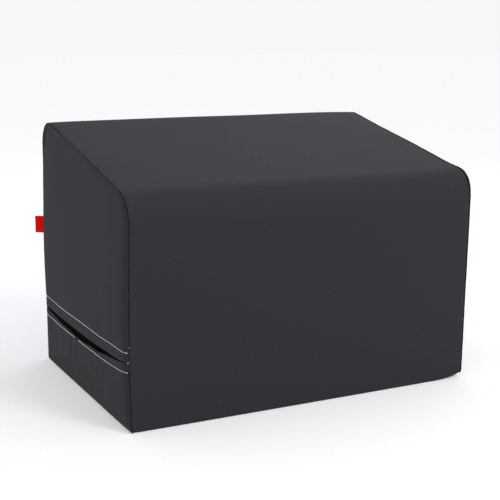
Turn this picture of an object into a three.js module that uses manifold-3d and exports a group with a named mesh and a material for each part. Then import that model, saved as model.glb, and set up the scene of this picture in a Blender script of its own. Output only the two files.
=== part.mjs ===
// Foam training horse: a laminated foam block with a sloping top, in a zipped cover of coated fabric.
// Millimetres, +Z up. The origin is the middle of the base, on the floor. -Y is the low front, +Y the tall
// back, and X runs along the length of the body. The zip runs round the left end, the back and the right end.
import * as THREE from "three";
import { mergeVertices } from "three/addons/utils/BufferGeometryUtils.js";
import Module from "manifold-3d";

const wasm = await Module();
wasm.setup();

// Foam core, as it is cut before the cover goes on.
const CORE_LENGTH = 600;
const CORE_DEPTH = 400;
const CORE_FRONT_HEIGHT = 343; // where the front face and the slope would meet
const CORE_BACK_HEIGHT = 428; // where the back face and the slope would meet
const CORE_FRONT_RADIUS = 49;
const CORE_BACK_RADIUS = 37;
const TOP_PAD = 30; // softer foam, glued over the slope
const PLANK = 40; // laminated planks, each with its glue line
const GLUE_LINE = 0.3;

// Cover, around the core.
const COVER_WALL = 1.2;
const COVER_FIT = 0.4;
const SEAM_GAP = 0.3;
const LIP_END_GAP = 0.8; // between the lips of an end where they meet the front seam
const LIP_SAG_UPPER = 3.8; // how far the upper lip of an end hangs down at most
const THREAD = 0.7;
const BAR_TACK = 7;

// Zip. A depth is counted inwards from the outside of the cover.
const ZIP_PLANK = 2; // the zip runs round this plank, counted from 0 at the base
const CHAIN_HEIGHT = 6.8;
const CHAIN_THICKNESS = 2.1;
const CHAIN_SLOT = 1.6; // between the two halves, where the post of a slider passes
const TAPE = 0.6;
const ZIP_BEND = 9; // radius of the chain at the back corners
const RUNNING = 0.3; // clearance round everything that slides or turns
const STOP_LENGTH = 3;

// Sliders and their pulls.
const SLIDER_LENGTH = 11.5;
const SLIDER_GAP = 2; // between the noses of the two sliders when the zip is shut
const SLIDER_POST = 3.5;
const WING = 1.1;
const FLANGE = 0.8;
const CROWN_WIDTH = 1.6;
const CROWN_WALL = 1.2;
const CROWN_RADIUS = 1.5;
const PULL_LENGTH = 20; // from the pivot to the free end
const PULL_WIDTH = 4.8;
const PULL_WALL = 1.4;

// Woven label, folded and sewn into the back left seam.
const LABEL_HEIGHT = 29;
const LABEL_REACH = 15;
const LABEL_WALL = 0.9;
const LABEL_MIDDLE = 241; // above the floor

// Sizes that follow.
const SHELL = COVER_FIT + COVER_WALL;
const SEAM = COVER_WALL + SEAM_GAP;
const HEM = 2 * COVER_WALL;
const HALF_X = CORE_LENGTH / 2 + SHELL;
const HALF_Y = CORE_DEPTH / 2 + SHELL;
const CORE_FLOOR = SHELL;
const SLOPE = Math.atan2(CORE_BACK_HEIGHT - CORE_FRONT_HEIGHT, CORE_DEPTH);
const FRONT_RADIUS = CORE_FRONT_RADIUS + SHELL;
const BACK_RADIUS = CORE_BACK_RADIUS + SHELL;

const ZIP_Z = CORE_FLOOR + (ZIP_PLANK + 0.5) * PLANK;
const HEM_REACH = PLANK / 2 - 1; // from the middle of the zip, like the next two
const TAPE_REACH = HEM_REACH - 1;
const STITCH_REACH = HEM_REACH - 3.5;
const LIP_SAG_LOWER = STITCH_REACH - 2.3; // it hangs nearly down to its stitches
const LIP_GAP = PULL_WIDTH + 0.8; // between the lips of the back, so that the pulls pass

const PULL_DEPTH = HEM + 0.2 - PULL_WALL;
const WING_DEPTH = PULL_DEPTH + PULL_WALL + RUNNING;
const CHAIN_DEPTH = WING_DEPTH + WING + RUNNING;
const TAPE_DEPTH = CHAIN_DEPTH + CHAIN_THICKNESS + RUNNING;
const LOWER_WING_DEPTH = TAPE_DEPTH + TAPE + RUNNING;
const ZIP_RECESS = LOWER_WING_DEPTH + WING + 2 * RUNNING; // to the foam behind the zip
const SLIDER_HALF = CHAIN_HEIGHT / 2 + RUNNING + FLANGE; // half its width behind the shoulders
const SLIDER_SHOULDER = SLIDER_HALF + 0.6;
const CROWN_HALF = SLIDER_LENGTH / 2 - 0.55;
const CROWN_RISE = PULL_WALL + 2 * RUNNING + CROWN_WALL;
const PULL_EYE = CROWN_HALF + 0.7; // from the pivot to the far end of the eye
const ZIP_FRONT = -HALF_Y + SEAM + 1;

const ARC_STEPS = 10;
const FLAT = { steps: 1, bevelEnabled: false, curveSegments: ARC_STEPS };
const X = new THREE.Vector3(1, 0, 0);
const Y = new THREE.Vector3(0, 1, 0);
const Z = new THREE.Vector3(0, 0, 1);

const paint = (color, roughness, metalness = 0) =>
  new THREE.MeshStandardMaterial({ color, roughness, metalness });
const LEATHERETTE = paint(0x2b2b2d, 0.55);
const BASE_CLOTH = paint(0x202022, 0.85);
const PLANK_FOAM = paint(0xe8e6df, 0.95);
const PAD_FOAM = paint(0xd9d2b8, 0.95);
const ZIP_TAPE = paint(0x0d0d0e, 0.9);
const ZIP_COIL = paint(0x101011, 0.45);
const ZIP_METAL = paint(0x3a3a3d, 0.35, 1);
const THREAD_WHITE = paint(0xe9e6de, 0.7);
const LABEL_RED = paint(0xb80f14, 0.8);

const horse = new THREE.Group();

function add(name, geometry, material) {
  const mesh = new THREE.Mesh(geometry, material);
  mesh.name = name;
  horse.add(mesh);
}

// A closed surface as a solid that can be joined and cut.
function solid(geometry) {
  const plain = geometry.index ? geometry.toNonIndexed() : geometry.clone();
  plain.deleteAttribute("normal");
  plain.deleteAttribute("uv");
  const merged = mergeVertices(plain, 1e-4);
  return new wasm.Manifold(
    new wasm.Mesh({
      numProp: 3,
      vertProperties: merged.attributes.position.array,
      triVerts: new Uint32Array(merged.index.array),
    }),
  );
}

// A solid back as a surface.
function surface(body) {
  const mesh = body.getMesh();
  const stride = mesh.numProp;
  const points = new Float32Array(mesh.numVert * 3);
  for (let i = 0; i < mesh.numVert; i++) {
    points.set(mesh.vertProperties.subarray(i * stride, i * stride + 3), i * 3);
  }
  return new THREE.BufferGeometry()
    .setAttribute("position", new THREE.BufferAttribute(points, 3))
    .setIndex(new THREE.BufferAttribute(mesh.triVerts, 1));
}

// A box between two opposite corners, given in either order.
function box(a, b) {
  const size = a.map((value, i) => Math.abs(value - b[i]));
  const middle = a.map((value, i) => (value + b[i]) / 2);
  return new THREE.BoxGeometry(...size).translate(...middle);
}

function polygon(points) {
  return new THREE.Shape(points.map(([a, b]) => new THREE.Vector2(a, b)));
}

// An outline in (Y, Z), given thickness from one X to another.
function alongX(shape, from, to) {
  return new THREE.ExtrudeGeometry(shape, { ...FLAT, depth: to - from })
    .applyMatrix4(new THREE.Matrix4().makeBasis(Y, Z, X))
    .translate(from, 0, 0);
}

// An outline in (X, Y), given thickness from one Z to another.
function alongZ(shape, from, to) {
  return new THREE.ExtrudeGeometry(shape, { ...FLAT, depth: to - from }).translate(0, 0, from);
}

// The centre of a top corner's rounding, which touches the upright face and the slope.
function roundingCentre(side, radius) {
  const y = side * (HALF_Y - radius);
  const corner = CORE_FLOOR + (side < 0 ? CORE_FRONT_HEIGHT : CORE_BACK_HEIGHT);
  const slopeAbove = corner + Math.tan(SLOPE) * (y - (side * CORE_DEPTH) / 2);
  return [y, slopeAbove + (SHELL - radius) / Math.cos(SLOPE)];
}
const FRONT_CENTRE = roundingCentre(-1, FRONT_RADIUS);
const BACK_CENTRE = roundingCentre(1, BACK_RADIUS);

// The side outline, inset from the outside of the cover: up the front, over the slope and down the back.
function overTheTop(inset, frontFoot, backFoot) {
  const path = new THREE.Path();
  path.moveTo(-HALF_Y + inset, frontFoot);
  path.lineTo(-HALF_Y + inset, FRONT_CENTRE[1]);
  path.absarc(...FRONT_CENTRE, FRONT_RADIUS - inset, Math.PI, Math.PI / 2 + SLOPE, true);
  path.absarc(...BACK_CENTRE, BACK_RADIUS - inset, Math.PI / 2 + SLOPE, 0, true);
  path.lineTo(HALF_Y - inset, backFoot);
  return path.getPoints(ARC_STEPS).map((p) => [p.x, p.y]);
}

// The plan of the plank that the zip runs round: it is cut back, with round corners at the back.
function zipPlankPlan() {
  const x = HALF_X - ZIP_RECESS;
  const y = HALF_Y - ZIP_RECESS;
  const radius = ZIP_BEND + TAPE_DEPTH - ZIP_RECESS;
  const plan = new THREE.Shape();
  plan.moveTo(-x, -CORE_DEPTH / 2);
  plan.lineTo(x, -CORE_DEPTH / 2);
  plan.absarc(x - radius, y - radius, radius, 0, Math.PI / 2, false);
  plan.absarc(-x + radius, y - radius, radius, Math.PI / 2, Math.PI, false);
  return plan;
}

function foamCore() {
  const halfX = CORE_LENGTH / 2;
  const halfY = CORE_DEPTH / 2;
  const outline = polygon(overTheTop(SHELL, CORE_FLOOR, CORE_FLOOR));
  const whole = solid(alongX(outline, -halfX, halfX));

  // all that lies under the glued face of the top pad, lowered by a drop
  const under = (drop) => {
    const below = TOP_PAD / Math.cos(SLOPE) + drop;
    const far = 2 * halfY;
    const lift = Math.tan(SLOPE) * (far - halfY);
    const front = CORE_FLOOR + CORE_FRONT_HEIGHT - below - lift;
    const back = CORE_FLOOR + CORE_BACK_HEIGHT - below + lift;
    return solid(alongX(polygon([[-far, -1], [far, -1], [far, back], [-far, front]]), -2 * halfX, 2 * halfX));
  };

  const stack = whole.intersect(under(GLUE_LINE));
  const stackTop = CORE_BACK_HEIGHT - TOP_PAD / Math.cos(SLOPE);
  const planks = Math.ceil((stackTop - CORE_BACK_RADIUS / 4) / PLANK);
  const square = polygon([[-halfX, -halfY], [halfX, -halfY], [halfX, halfY], [-halfX, halfY]]);
  for (let i = 0; i < planks; i++) {
    const floor = CORE_FLOOR + i * PLANK;
    const top = i === planks - 1 ? floor + 2 * PLANK : floor + PLANK - GLUE_LINE;
    const slab = solid(alongZ(i === ZIP_PLANK ? zipPlankPlan() : square, floor, top));
    add("core_plank_" + String(i + 1).padStart(2, "0"), surface(stack.intersect(slab)), PLANK_FOAM);
  }
  add("core_top_pad", surface(whole.subtract(under(0))), PAD_FOAM);
}

// The line of an upper or lower lip on an end, front to back. It hangs lowest behind the middle.
function endLip(side, y0, y1) {
  const steps = 14;
  const hang = side > 0 ? LIP_SAG_UPPER : LIP_SAG_LOWER;
  const line = [];
  for (let i = 0; i <= steps; i++) {
    const t = i / steps;
    const sag = (Math.sin(Math.PI * t ** 1.15) + 0.37 * t * t) / 1.12;
    line.push([y0 + (y1 - y0) * t, ZIP_Z + (side * LIP_END_GAP) / 2 - hang * sag]);
  }
  return line;
}

// An end panel above or below the zip, with its hem turned in along the zip.
function endPanel(name, end, side) {
  const y = HALF_Y - SEAM;
  const lip = endLip(side, -y, y);
  const frontLip = lip[0][1];
  const backLip = lip[lip.length - 1][1];
  const hemEnd = ZIP_Z + side * HEM_REACH;
  const outline =
    side > 0
      ? [...overTheTop(SEAM, frontLip, backLip), ...lip.slice(1, -1).reverse()]
      : [[-y, SEAM], [y, SEAM], ...lip.slice().reverse()];
  const hem = [...lip, [y, hemEnd], [-y, hemEnd]];
  const layer = (points, wall) => {
    const from = end < 0 ? -HALF_X : HALF_X - wall;
    return solid(alongX(polygon(points), from, from + wall));
  };
  add(name, surface(layer(outline, COVER_WALL).add(layer(hem, HEM))), LEATHERETTE);
}

function coverPanels() {
  const lipTop = ZIP_Z + LIP_GAP / 2;
  const lipBottom = ZIP_Z - LIP_GAP / 2;
  const hemX = HALF_X - HEM - SEAM_GAP;
  const hemY = HALF_Y - HEM;

  // one strip runs up the front, over the top and down the back to the zip
  const outside = overTheTop(0, SEAM, lipTop);
  const inside = overTheTop(COVER_WALL, SEAM, lipTop);
  const strip = solid(alongX(polygon([...outside, ...inside.reverse()]), -HALF_X, HALF_X));
  const upperHem = box([-hemX, hemY, lipTop], [hemX, HALF_Y, ZIP_Z + HEM_REACH]);
  add("cover_wrap", surface(strip.add(solid(upperHem))), LEATHERETTE);

  const back = box([-HALF_X, HALF_Y - COVER_WALL, SEAM], [HALF_X, HALF_Y, lipBottom]);
  const lowerHem = box([-hemX, hemY, ZIP_Z - HEM_REACH], [hemX, HALF_Y, lipBottom]);
  add("cover_back_lower", surface(solid(back).add(solid(lowerHem))), LEATHERETTE);

  endPanel("cover_left_upper", -1, 1);
  endPanel("cover_left_lower", -1, -1);
  endPanel("cover_right_upper", 1, 1);
  endPanel("cover_right_lower", 1, -1);
  add("cover_base", box([-HALF_X, -HALF_Y, 0], [HALF_X, HALF_Y, COVER_WALL]), BASE_CLOTH);
}

// The route of the zip at the depth of its tape: back along the left end, across the back, forward again.
class ZipRoute extends THREE.Curve {
  constructor(frontY) {
    super();
    const turns = 5;
    const x = HALF_X - TAPE_DEPTH;
    const y = HALF_Y - TAPE_DEPTH;
    const bend = (middleX, from) =>
      Array.from({ length: turns + 1 }, (_, i) => {
        const angle = from - ((Math.PI / 2) * i) / turns;
        const away = new THREE.Vector3(Math.cos(angle), Math.sin(angle), 0).multiplyScalar(ZIP_BEND);
        return away.add(new THREE.Vector3(middleX, y - ZIP_BEND, ZIP_Z));
      });
    this.points = [
      new THREE.Vector3(-x, frontY, ZIP_Z),
      ...bend(-x + ZIP_BEND, Math.PI),
      ...bend(x - ZIP_BEND, Math.PI / 2),
      new THREE.Vector3(x, frontY, ZIP_Z),
    ];
    this.steps = this.points.length - 1;
  }
  getUtoTmapping(u) {
    return u;
  }
  getPoint(t, target = new THREE.Vector3()) {
    const at = THREE.MathUtils.clamp(t, 0, 1) * this.steps;
    const i = Math.min(Math.floor(at), this.steps - 1);
    return target.lerpVectors(this.points[i], this.points[i + 1], at - i);
  }
}

// A section carried round the zip. Its points are [depth, height above the middle of the zip].
function roundTheZip(section, frontY) {
  const route = new ZipRoute(frontY);
  // the route carries a section with its first coordinate downwards and its second outwards
  const outline = polygon(section.map(([depth, height]) => [-height, TAPE_DEPTH - depth]));
  return new THREE.ExtrudeGeometry(outline, { ...FLAT, steps: route.steps, extrudePath: route });
}

function zipChain() {
  const slot = CHAIN_SLOT / 2;
  const half = CHAIN_HEIGHT / 2;
  const chainEnd = CHAIN_DEPTH + CHAIN_THICKNESS;
  const inner = slot + 1.2;
  const flat = SLIDER_SHOULDER + RUNNING;
  const hemSide = HEM + SEAM_GAP;
  const climb = TAPE_DEPTH - hemSide;
  for (const [name, side] of [["upper", 1], ["lower", -1]]) {
    const coil = [
      [CHAIN_DEPTH, side * slot],
      [CHAIN_DEPTH, side * half],
      [chainEnd, side * half],
      [chainEnd, side * slot],
    ];
    add("zip_coil_" + name, roundTheZip(coil, ZIP_FRONT + STOP_LENGTH + RUNNING), ZIP_COIL);
    // the tape lies flat behind the coil, then climbs to the hem it is sewn to
    const tape = [
      [TAPE_DEPTH, side * inner],
      [TAPE_DEPTH, side * flat],
      [hemSide, side * (flat + climb)],
      [hemSide, side * TAPE_REACH],
      [hemSide + TAPE, side * TAPE_REACH],
      [hemSide + TAPE, side * (flat + climb + TAPE / 2)],
      [TAPE_DEPTH + TAPE, side * (flat + TAPE / 2)],
      [TAPE_DEPTH + TAPE, side * inner],
    ];
    add("zip_tape_" + name, roundTheZip(tape, ZIP_FRONT), ZIP_TAPE);
  }
  // a clip holds the two halves together at each front end
  for (const [name, end] of [["left", -1], ["right", 1]]) {
    const outer = [end * (HALF_X - CHAIN_DEPTH + RUNNING), ZIP_FRONT, ZIP_Z - half - 0.2];
    const innerCorner = [end * (HALF_X - chainEnd), ZIP_FRONT + STOP_LENGTH, ZIP_Z + half + 0.2];
    add("zip_stop_" + name, box(outer, innerCorner), ZIP_METAL);
  }
}

// An outline on the back in (X, Z about the zip), given thickness from one depth to another.
function onBack(points, fromDepth, toDepth) {
  const shape = points instanceof THREE.Shape ? points : polygon(points);
  return new THREE.ExtrudeGeometry(shape, { ...FLAT, depth: toDepth - fromDepth })
    .applyMatrix4(new THREE.Matrix4().makeBasis(X.clone().negate(), Z, Y))
    .translate(0, HALF_Y - toDepth, ZIP_Z);
}

// A slider with its crown and pull. side is -1 on the left and 1 on the right. Along the zip, u is counted
// from the middle of the slider towards its tail, which points away from the other slider.
function slider(name, side) {
  const half = SLIDER_LENGTH / 2;
  const middle = side * (SLIDER_GAP / 2 + half);
  const at = (u) => middle + side * u;
  const mirrored = (points) => [...points, ...points.map(([u, z]) => [u, -z]).reverse()];
  const plate = (points, fromDepth, toDepth) =>
    solid(onBack(points.map(([u, z]) => [-at(u), z]), fromDepth, toDepth));
  const bar = (u0, u1, z0, z1, d0, d1) =>
    solid(box([at(u0), HALF_Y - d0, ZIP_Z + z0], [at(u1), HALF_Y - d1, ZIP_Z + z1]));

  const wing = mirrored([
    [-half, 2.6],
    [-half + 1, SLIDER_SHOULDER - 0.4],
    [-half + 2.6, SLIDER_SHOULDER],
    [-1, SLIDER_HALF],
    [half - 0.6, SLIDER_HALF],
    [half, SLIDER_HALF - 0.6],
  ]);
  const overlap = WING / 2;
  const flangeFoot = CHAIN_DEPTH + CHAIN_THICKNESS - 0.1;
  let body = plate(wing, WING_DEPTH, WING_DEPTH + WING);
  body = body.add(plate(wing, LOWER_WING_DEPTH, LOWER_WING_DEPTH + WING));
  body = body.add(
    bar(-half + 0.8, -half + 0.8 + SLIDER_POST, -0.5, 0.5, WING_DEPTH + overlap, LOWER_WING_DEPTH + overlap),
  );
  for (const z of [-SLIDER_HALF, SLIDER_HALF - FLANGE]) {
    body = body.add(bar(-1, half - 0.6, z, z + FLANGE, WING_DEPTH + overlap, flangeFoot));
  }
  add("zip_slider_" + name + "_body", surface(body), ZIP_METAL);

  // the crown is a low arch from nose to tail over the upper wing
  const arch = (reach, rise, radius) => {
    const shape = new THREE.Path();
    shape.moveTo(-reach, 0);
    shape.lineTo(-reach, rise - radius);
    shape.absarc(-reach + radius, rise - radius, radius, Math.PI, Math.PI / 2, true);
    shape.absarc(reach - radius, rise - radius, radius, Math.PI / 2, 0, true);
    shape.lineTo(reach, 0);
    return shape.getPoints(4).map((p) => [p.x, p.y]);
  };
  const outer = arch(CROWN_HALF, CROWN_RISE, CROWN_RADIUS);
  const inner = arch(CROWN_HALF - CROWN_WALL, CROWN_RISE - CROWN_WALL, CROWN_RADIUS - CROWN_WALL);
  const crown = alongZ(polygon([...outer, ...inner.reverse()]), -CROWN_WIDTH / 2, CROWN_WIDTH / 2);
  add("zip_slider_" + name + "_crown", crown.translate(middle, HALF_Y - WING_DEPTH, ZIP_Z), ZIP_METAL);

  // the pull is a flat bar, held by a crossbar under the crown
  const tip = PULL_WIDTH / 2;
  const eye = CROWN_WIDTH / 2 + RUNNING;
  const round = [];
  for (let i = 0; i <= 8; i++) {
    const angle = (Math.PI / 2) * (1 - i / 8);
    round.push([PULL_LENGTH - tip + tip * Math.cos(angle), tip * Math.sin(angle)]);
  }
  const strap = mirrored([[0, tip], ...round.slice(0, -1), [PULL_LENGTH, 0.05]]);
  let pull = plate(strap, PULL_DEPTH, PULL_DEPTH + PULL_WALL);
  pull = pull.subtract(bar(-1, PULL_EYE, -eye, eye, PULL_DEPTH - 1, PULL_DEPTH + PULL_WALL + 1));
  const crossbar = new THREE.CylinderGeometry(PULL_WALL / 2, PULL_WALL / 2, PULL_WIDTH, 16)
    .rotateX(Math.PI / 2)
    .translate(middle, HALF_Y - PULL_DEPTH - PULL_WALL / 2, ZIP_Z);
  add("zip_slider_" + name + "_pull", surface(pull.add(solid(crossbar))), ZIP_METAL);
}

function threads() {
  const endY = HALF_Y - SEAM - 1;
  const backX = HALF_X - SEAM - 1;
  for (const [row, side] of [["upper", 1], ["lower", -1]]) {
    const z = ZIP_Z + side * STITCH_REACH - THREAD / 2;
    for (const [name, end] of [["left", -1], ["right", 1]]) {
      const stitches = box([end * HALF_X, -endY, z], [end * (HALF_X + THREAD), endY, z + THREAD]);
      add("topstitch_" + name + "_" + row, stitches, THREAD_WHITE);
    }
    const stitches = box([-backX, HALF_Y, z], [backX, HALF_Y + THREAD, z + THREAD]);
    add("topstitch_back_" + row, stitches, THREAD_WHITE);
  }
  // a bar tack closes the front end of the slit on each side
  for (const [name, end] of [["left", -1], ["right", 1]]) {
    const low = [end * HALF_X, -HALF_Y + SEAM + 0.5, ZIP_Z - BAR_TACK / 2];
    const high = [end * (HALF_X + THREAD), -HALF_Y + SEAM + 2.5, ZIP_Z + BAR_TACK / 2];
    add("bar_tack_" + name, box(low, high), THREAD_WHITE);
  }
}

// The label stands out of the upright seam at the back left, midway between the back and the left end.
function label() {
  const fold = new THREE.BoxGeometry(LABEL_REACH, LABEL_WALL, LABEL_HEIGHT)
    .translate(LABEL_REACH / 2 + SEAM_GAP, 0, LABEL_MIDDLE)
    .rotateZ((3 * Math.PI) / 4)
    .translate(-HALF_X, HALF_Y, 0);
  add("label_tag", fold, LABEL_RED);
}

foamCore();
coverPanels();
zipChain();
slider("left", -1);
slider("right", 1);
threads();
label();

export default horse;
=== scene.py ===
import math

import bpy
import numpy as np
from mathutils import Matrix, Vector
from mathutils.bvhtree import BVHTree

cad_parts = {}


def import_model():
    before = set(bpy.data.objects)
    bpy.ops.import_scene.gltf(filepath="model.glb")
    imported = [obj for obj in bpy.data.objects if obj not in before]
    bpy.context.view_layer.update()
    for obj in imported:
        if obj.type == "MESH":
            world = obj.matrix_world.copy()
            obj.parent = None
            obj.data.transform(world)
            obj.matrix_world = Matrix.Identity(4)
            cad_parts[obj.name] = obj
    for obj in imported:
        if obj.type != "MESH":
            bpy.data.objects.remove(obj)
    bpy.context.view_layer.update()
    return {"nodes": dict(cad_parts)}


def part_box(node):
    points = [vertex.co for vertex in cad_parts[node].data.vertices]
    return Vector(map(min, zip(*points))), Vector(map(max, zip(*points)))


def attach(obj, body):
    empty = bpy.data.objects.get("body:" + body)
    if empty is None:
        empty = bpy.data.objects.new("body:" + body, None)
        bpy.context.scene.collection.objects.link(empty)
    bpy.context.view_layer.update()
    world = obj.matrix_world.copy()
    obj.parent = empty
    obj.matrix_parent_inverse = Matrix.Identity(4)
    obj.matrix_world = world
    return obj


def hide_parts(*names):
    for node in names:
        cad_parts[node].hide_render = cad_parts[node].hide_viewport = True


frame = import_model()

# Lengths are millimetres until a mesh is made. +Y is the tall back, -Y the low front, +Z up.
MM = 0.001
BLOCK = "block"
SIDES = ((-1, "left"), (1, "right"))


def cad_span(node):
    low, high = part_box(node)
    return np.array(low) / MM, np.array(high) / MM


# Sizes of the block, as its cover is cut.
HALF_X, HALF_Y = cad_span("cover_wrap")[1][:2]
SHELL = 1.6
CORE_DEPTH, CORE_FRONT_HEIGHT, CORE_BACK_HEIGHT = 400, 343, 428
FRONT_RADIUS, BACK_RADIUS = 50.6, 38.6
SLOPE = math.atan2(CORE_BACK_HEIGHT - CORE_FRONT_HEIGHT, CORE_DEPTH)
LEATHERETTE_WALL = 1.2

# The zip, its lips and its stitching. Each pair is a place along the end, from the front, and a height there.
ZIP_Z = cad_span("zip_coil_lower")[1][2] + 0.8
BACK_LIP = 2.8
BACK_STITCH_REACH = 15.5
UPPER_LIP = [(-202, 109.9), (-191, 109.0), (-179, 107.8), (-160, 106.1), (-116, 104.4), (-62, 102.2), (-5, 100.9),
             (45, 100.3), (90, 99.1), (140, 97.4), (175, 98.0), (202, 99.6)]
LOWER_LIP = [(-202, 109.2), (-191, 107.9), (-179, 105.6), (-160, 103.0), (-129, 99.6), (-103, 96.3), (-88, 94.0),
             (-75, 91.6), (-61, 92.4), (-34, 90.5), (-5, 87.8), (35, 87.4), (75, 88.2), (112, 88.2), (148, 90.3),
             (180, 93.4), (202, 95.6)]
UPPER_ROW = [(-202, 124.0), (-176, 123.9), (-151, 123.5), (-126, 122.7), (-99, 121.7), (-40, 121.0), (3, 120.4),
             (36, 119.5), (69, 118.0), (110, 116.8), (160, 117.0), (202, 117.6)]
LOWER_ROW = [(-202, 94.2), (-185, 93.0), (-150, 90.3), (-110, 88.3), (-71, 87.0), (-30, 86.0), (5, 85.3), (38, 84.7),
             (72, 84.1), (120, 82.9), (160, 82.9), (202, 83.8)]

# How the soft body swells out of the seams.
EDGE_RUN = 4.5
END_CROWN, END_CROWN_RUN = 2.0, 70.0
SEAM_TUCK, SEAM_RUN = 3.4, 1.3
SEAM_INSET, WRAP_INSET = 0.25, 1.25
STRIP_REACH = HALF_X - WRAP_INSET
HEM_DEPTH, HEM_RADIUS = 12.0, 1.6
BACK_HEM_DEPTH = 2.5
END_HEM_GAP = 3.2
FLOOR_GAP = 0.6
BACKWARDS = np.array([0, 1.0, 0])
BLOCK_MIDDLE = np.array([0, 0, 180.0])


# ---------------------------------------------------------------- outline of the side

def rounding_centre(side, radius):
    y = side * (HALF_Y - radius)
    corner = SHELL + (CORE_FRONT_HEIGHT if side < 0 else CORE_BACK_HEIGHT)
    above = corner + math.tan(SLOPE) * (y - side * CORE_DEPTH / 2)
    return np.array([y, above + (SHELL - radius) / math.cos(SLOPE)])


FRONT_CENTRE = rounding_centre(-1, FRONT_RADIUS)
BACK_CENTRE = rounding_centre(1, BACK_RADIUS)
SLOPE_ALONG = np.array([math.cos(SLOPE), math.sin(SLOPE)])
SLOPE_OUT = np.array([-math.sin(SLOPE), math.cos(SLOPE)])
SLOPE_START = FRONT_CENTRE + FRONT_RADIUS * SLOPE_OUT
SLOPE_END = BACK_CENTRE + BACK_RADIUS * SLOPE_OUT
LENGTHS = [
    FRONT_CENTRE[1],
    FRONT_RADIUS * (math.pi / 2 - SLOPE),
    float(np.linalg.norm(SLOPE_END - SLOPE_START)),
    BACK_RADIUS * (math.pi / 2 + SLOPE),
    BACK_CENTRE[1],
]
ENDS = np.cumsum([0] + LENGTHS)
AROUND = ENDS[-1]


def outline(s, inset=0.0):
    """Points (y, z) and outward normals along the side outline: up the front, over the top, down the back."""
    s = np.asarray(s, float)
    turn_front = np.clip((s - ENDS[1]) / FRONT_RADIUS, 0, LENGTHS[1] / FRONT_RADIUS)
    turn_back = np.clip((s - ENDS[3]) / BACK_RADIUS, 0, LENGTHS[3] / BACK_RADIUS)
    angle = math.pi - turn_front - turn_back
    out = np.stack([np.cos(angle), np.sin(angle)], -1)
    at = np.zeros(s.shape + (2,))
    front, arc, slope, turn, back = (
        s < ENDS[1],
        (s >= ENDS[1]) & (s < ENDS[2]),
        (s >= ENDS[2]) & (s < ENDS[3]),
        (s >= ENDS[3]) & (s < ENDS[4]),
        s >= ENDS[4],
    )
    at[front] = np.stack([np.full(front.sum(), -HALF_Y), s[front]], -1)
    at[arc] = FRONT_CENTRE + FRONT_RADIUS * out[arc]
    at[slope] = SLOPE_START + (s[slope] - ENDS[2])[:, None] * SLOPE_ALONG
    at[turn] = BACK_CENTRE + BACK_RADIUS * out[turn]
    at[back] = np.stack([np.full(back.sum(), HALF_Y), AROUND - s[back]], -1)
    return at - inset * out, out


def graded(count, ease=0.9):
    """count + 1 values from 0 to 1, close together at both ends."""
    t = np.linspace(0, 1, count + 1)
    return (1 - ease) * t + ease * (0.5 - 0.5 * np.cos(math.pi * t))


def smooth(t):
    t = np.clip(t, 0, 1)
    return t * t * (3 - 2 * t)


def ripple(a, b, size, seed):
    """A soft unevenness between about -1 and 1, with features of the given size."""
    random = np.random.default_rng(seed)
    total = 0
    for _ in range(7):
        heading, phase = random.uniform(0, 2 * math.pi, 2)
        pitch = size * random.uniform(0.7, 1.6)
        along = np.cos(heading) * a + np.sin(heading) * b
        total = total + np.sin(2 * math.pi * along / pitch + phase)
    return total / 3.2


# ---------------------------------------------------------------- shape of the cover

CORNERS = [(1, -1, 10.5), (-1, -1, 1.5), (1, 1, 3.0), (-1, 1, 1.5)]


def lifted(x, y, z):
    """The bottom corners of the cover are soft and stand a little off the floor."""
    lift = 0
    for side_x, side_y, most in CORNERS:
        away = np.hypot(x - side_x * HALF_X, y - side_y * HALF_Y)
        lift = lift + most * np.exp(-away / 18)
    return z + lift * np.exp(-np.maximum(z, 0) / 22)


def seam_rise(s, end):
    """How far the seam round an end is pushed out of the outline: the right end is stuffed full along its slope."""
    if end < 0:
        return 0.0 * s
    lying = smooth((s - ENDS[1]) / 40) * smooth((ENDS[3] - 60 - s) / 120)
    shoulder = np.exp(-(((s - ENDS[1] - 0.76 * LENGTHS[1]) / 30) ** 2))
    return 1.4 * lying + 3.0 * shoulder


def seam_line(s, end):
    """Points of the seam round an end, and the way they face."""
    return outline(s, SEAM_INSET - seam_rise(np.asarray(s, float), end)[..., None])


OUTLINE_SAMPLES = {end: seam_line(np.linspace(0, AROUND, 900), end)[0] for end in (-1, 1)}


def from_seam(y, z, end):
    """Distance in the side plane to the seam that runs round the end."""
    points = np.stack([y, z], -1).reshape(-1, 2)
    least = np.full(len(points), 1e9)
    for start in range(0, len(points), 2000):
        part = points[start : start + 2000]
        gap = np.linalg.norm(part[:, None] - OUTLINE_SAMPLES[end][None], axis=2)
        least[start : start + 2000] = gap.min(1)
    return least.reshape(np.shape(y))


def through(knots, at):
    """A smooth curve through pairs of place and value."""
    place, value = np.array(knots, float).T
    lean = np.gradient(value, place)
    at = np.clip(at, place[0], place[-1])
    i = np.clip(np.searchsorted(place, at, side="right") - 1, 0, len(place) - 2)
    gap = place[i + 1] - place[i]
    t = (at - place[i]) / gap
    rise = value[i] * (2 * t**3 - 3 * t**2 + 1) + value[i + 1] * (3 * t**2 - 2 * t**3)
    return rise + gap * (lean[i] * (t**3 - 2 * t**2 + t) + lean[i + 1] * (t**3 - t**2))


def end_lip(y, upper):
    """Height of the fold of an end's upper or lower lip."""
    return through(UPPER_LIP if upper else LOWER_LIP, y)


def zip_middle(y):
    return (through(UPPER_ROW, y) + through(LOWER_ROW, y)) / 2


def back_lip(x, upper):
    """Height of the fold of a back lip. Near a corner it meets the lips of the end."""
    side = 1 if upper else -1
    turn = smooth((np.abs(x) - (HALF_X - 14)) / 12)
    corner = end_lip(np.array(HALF_Y), upper)
    return (1 - turn) * (ZIP_Z + side * BACK_LIP) + turn * corner


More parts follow.
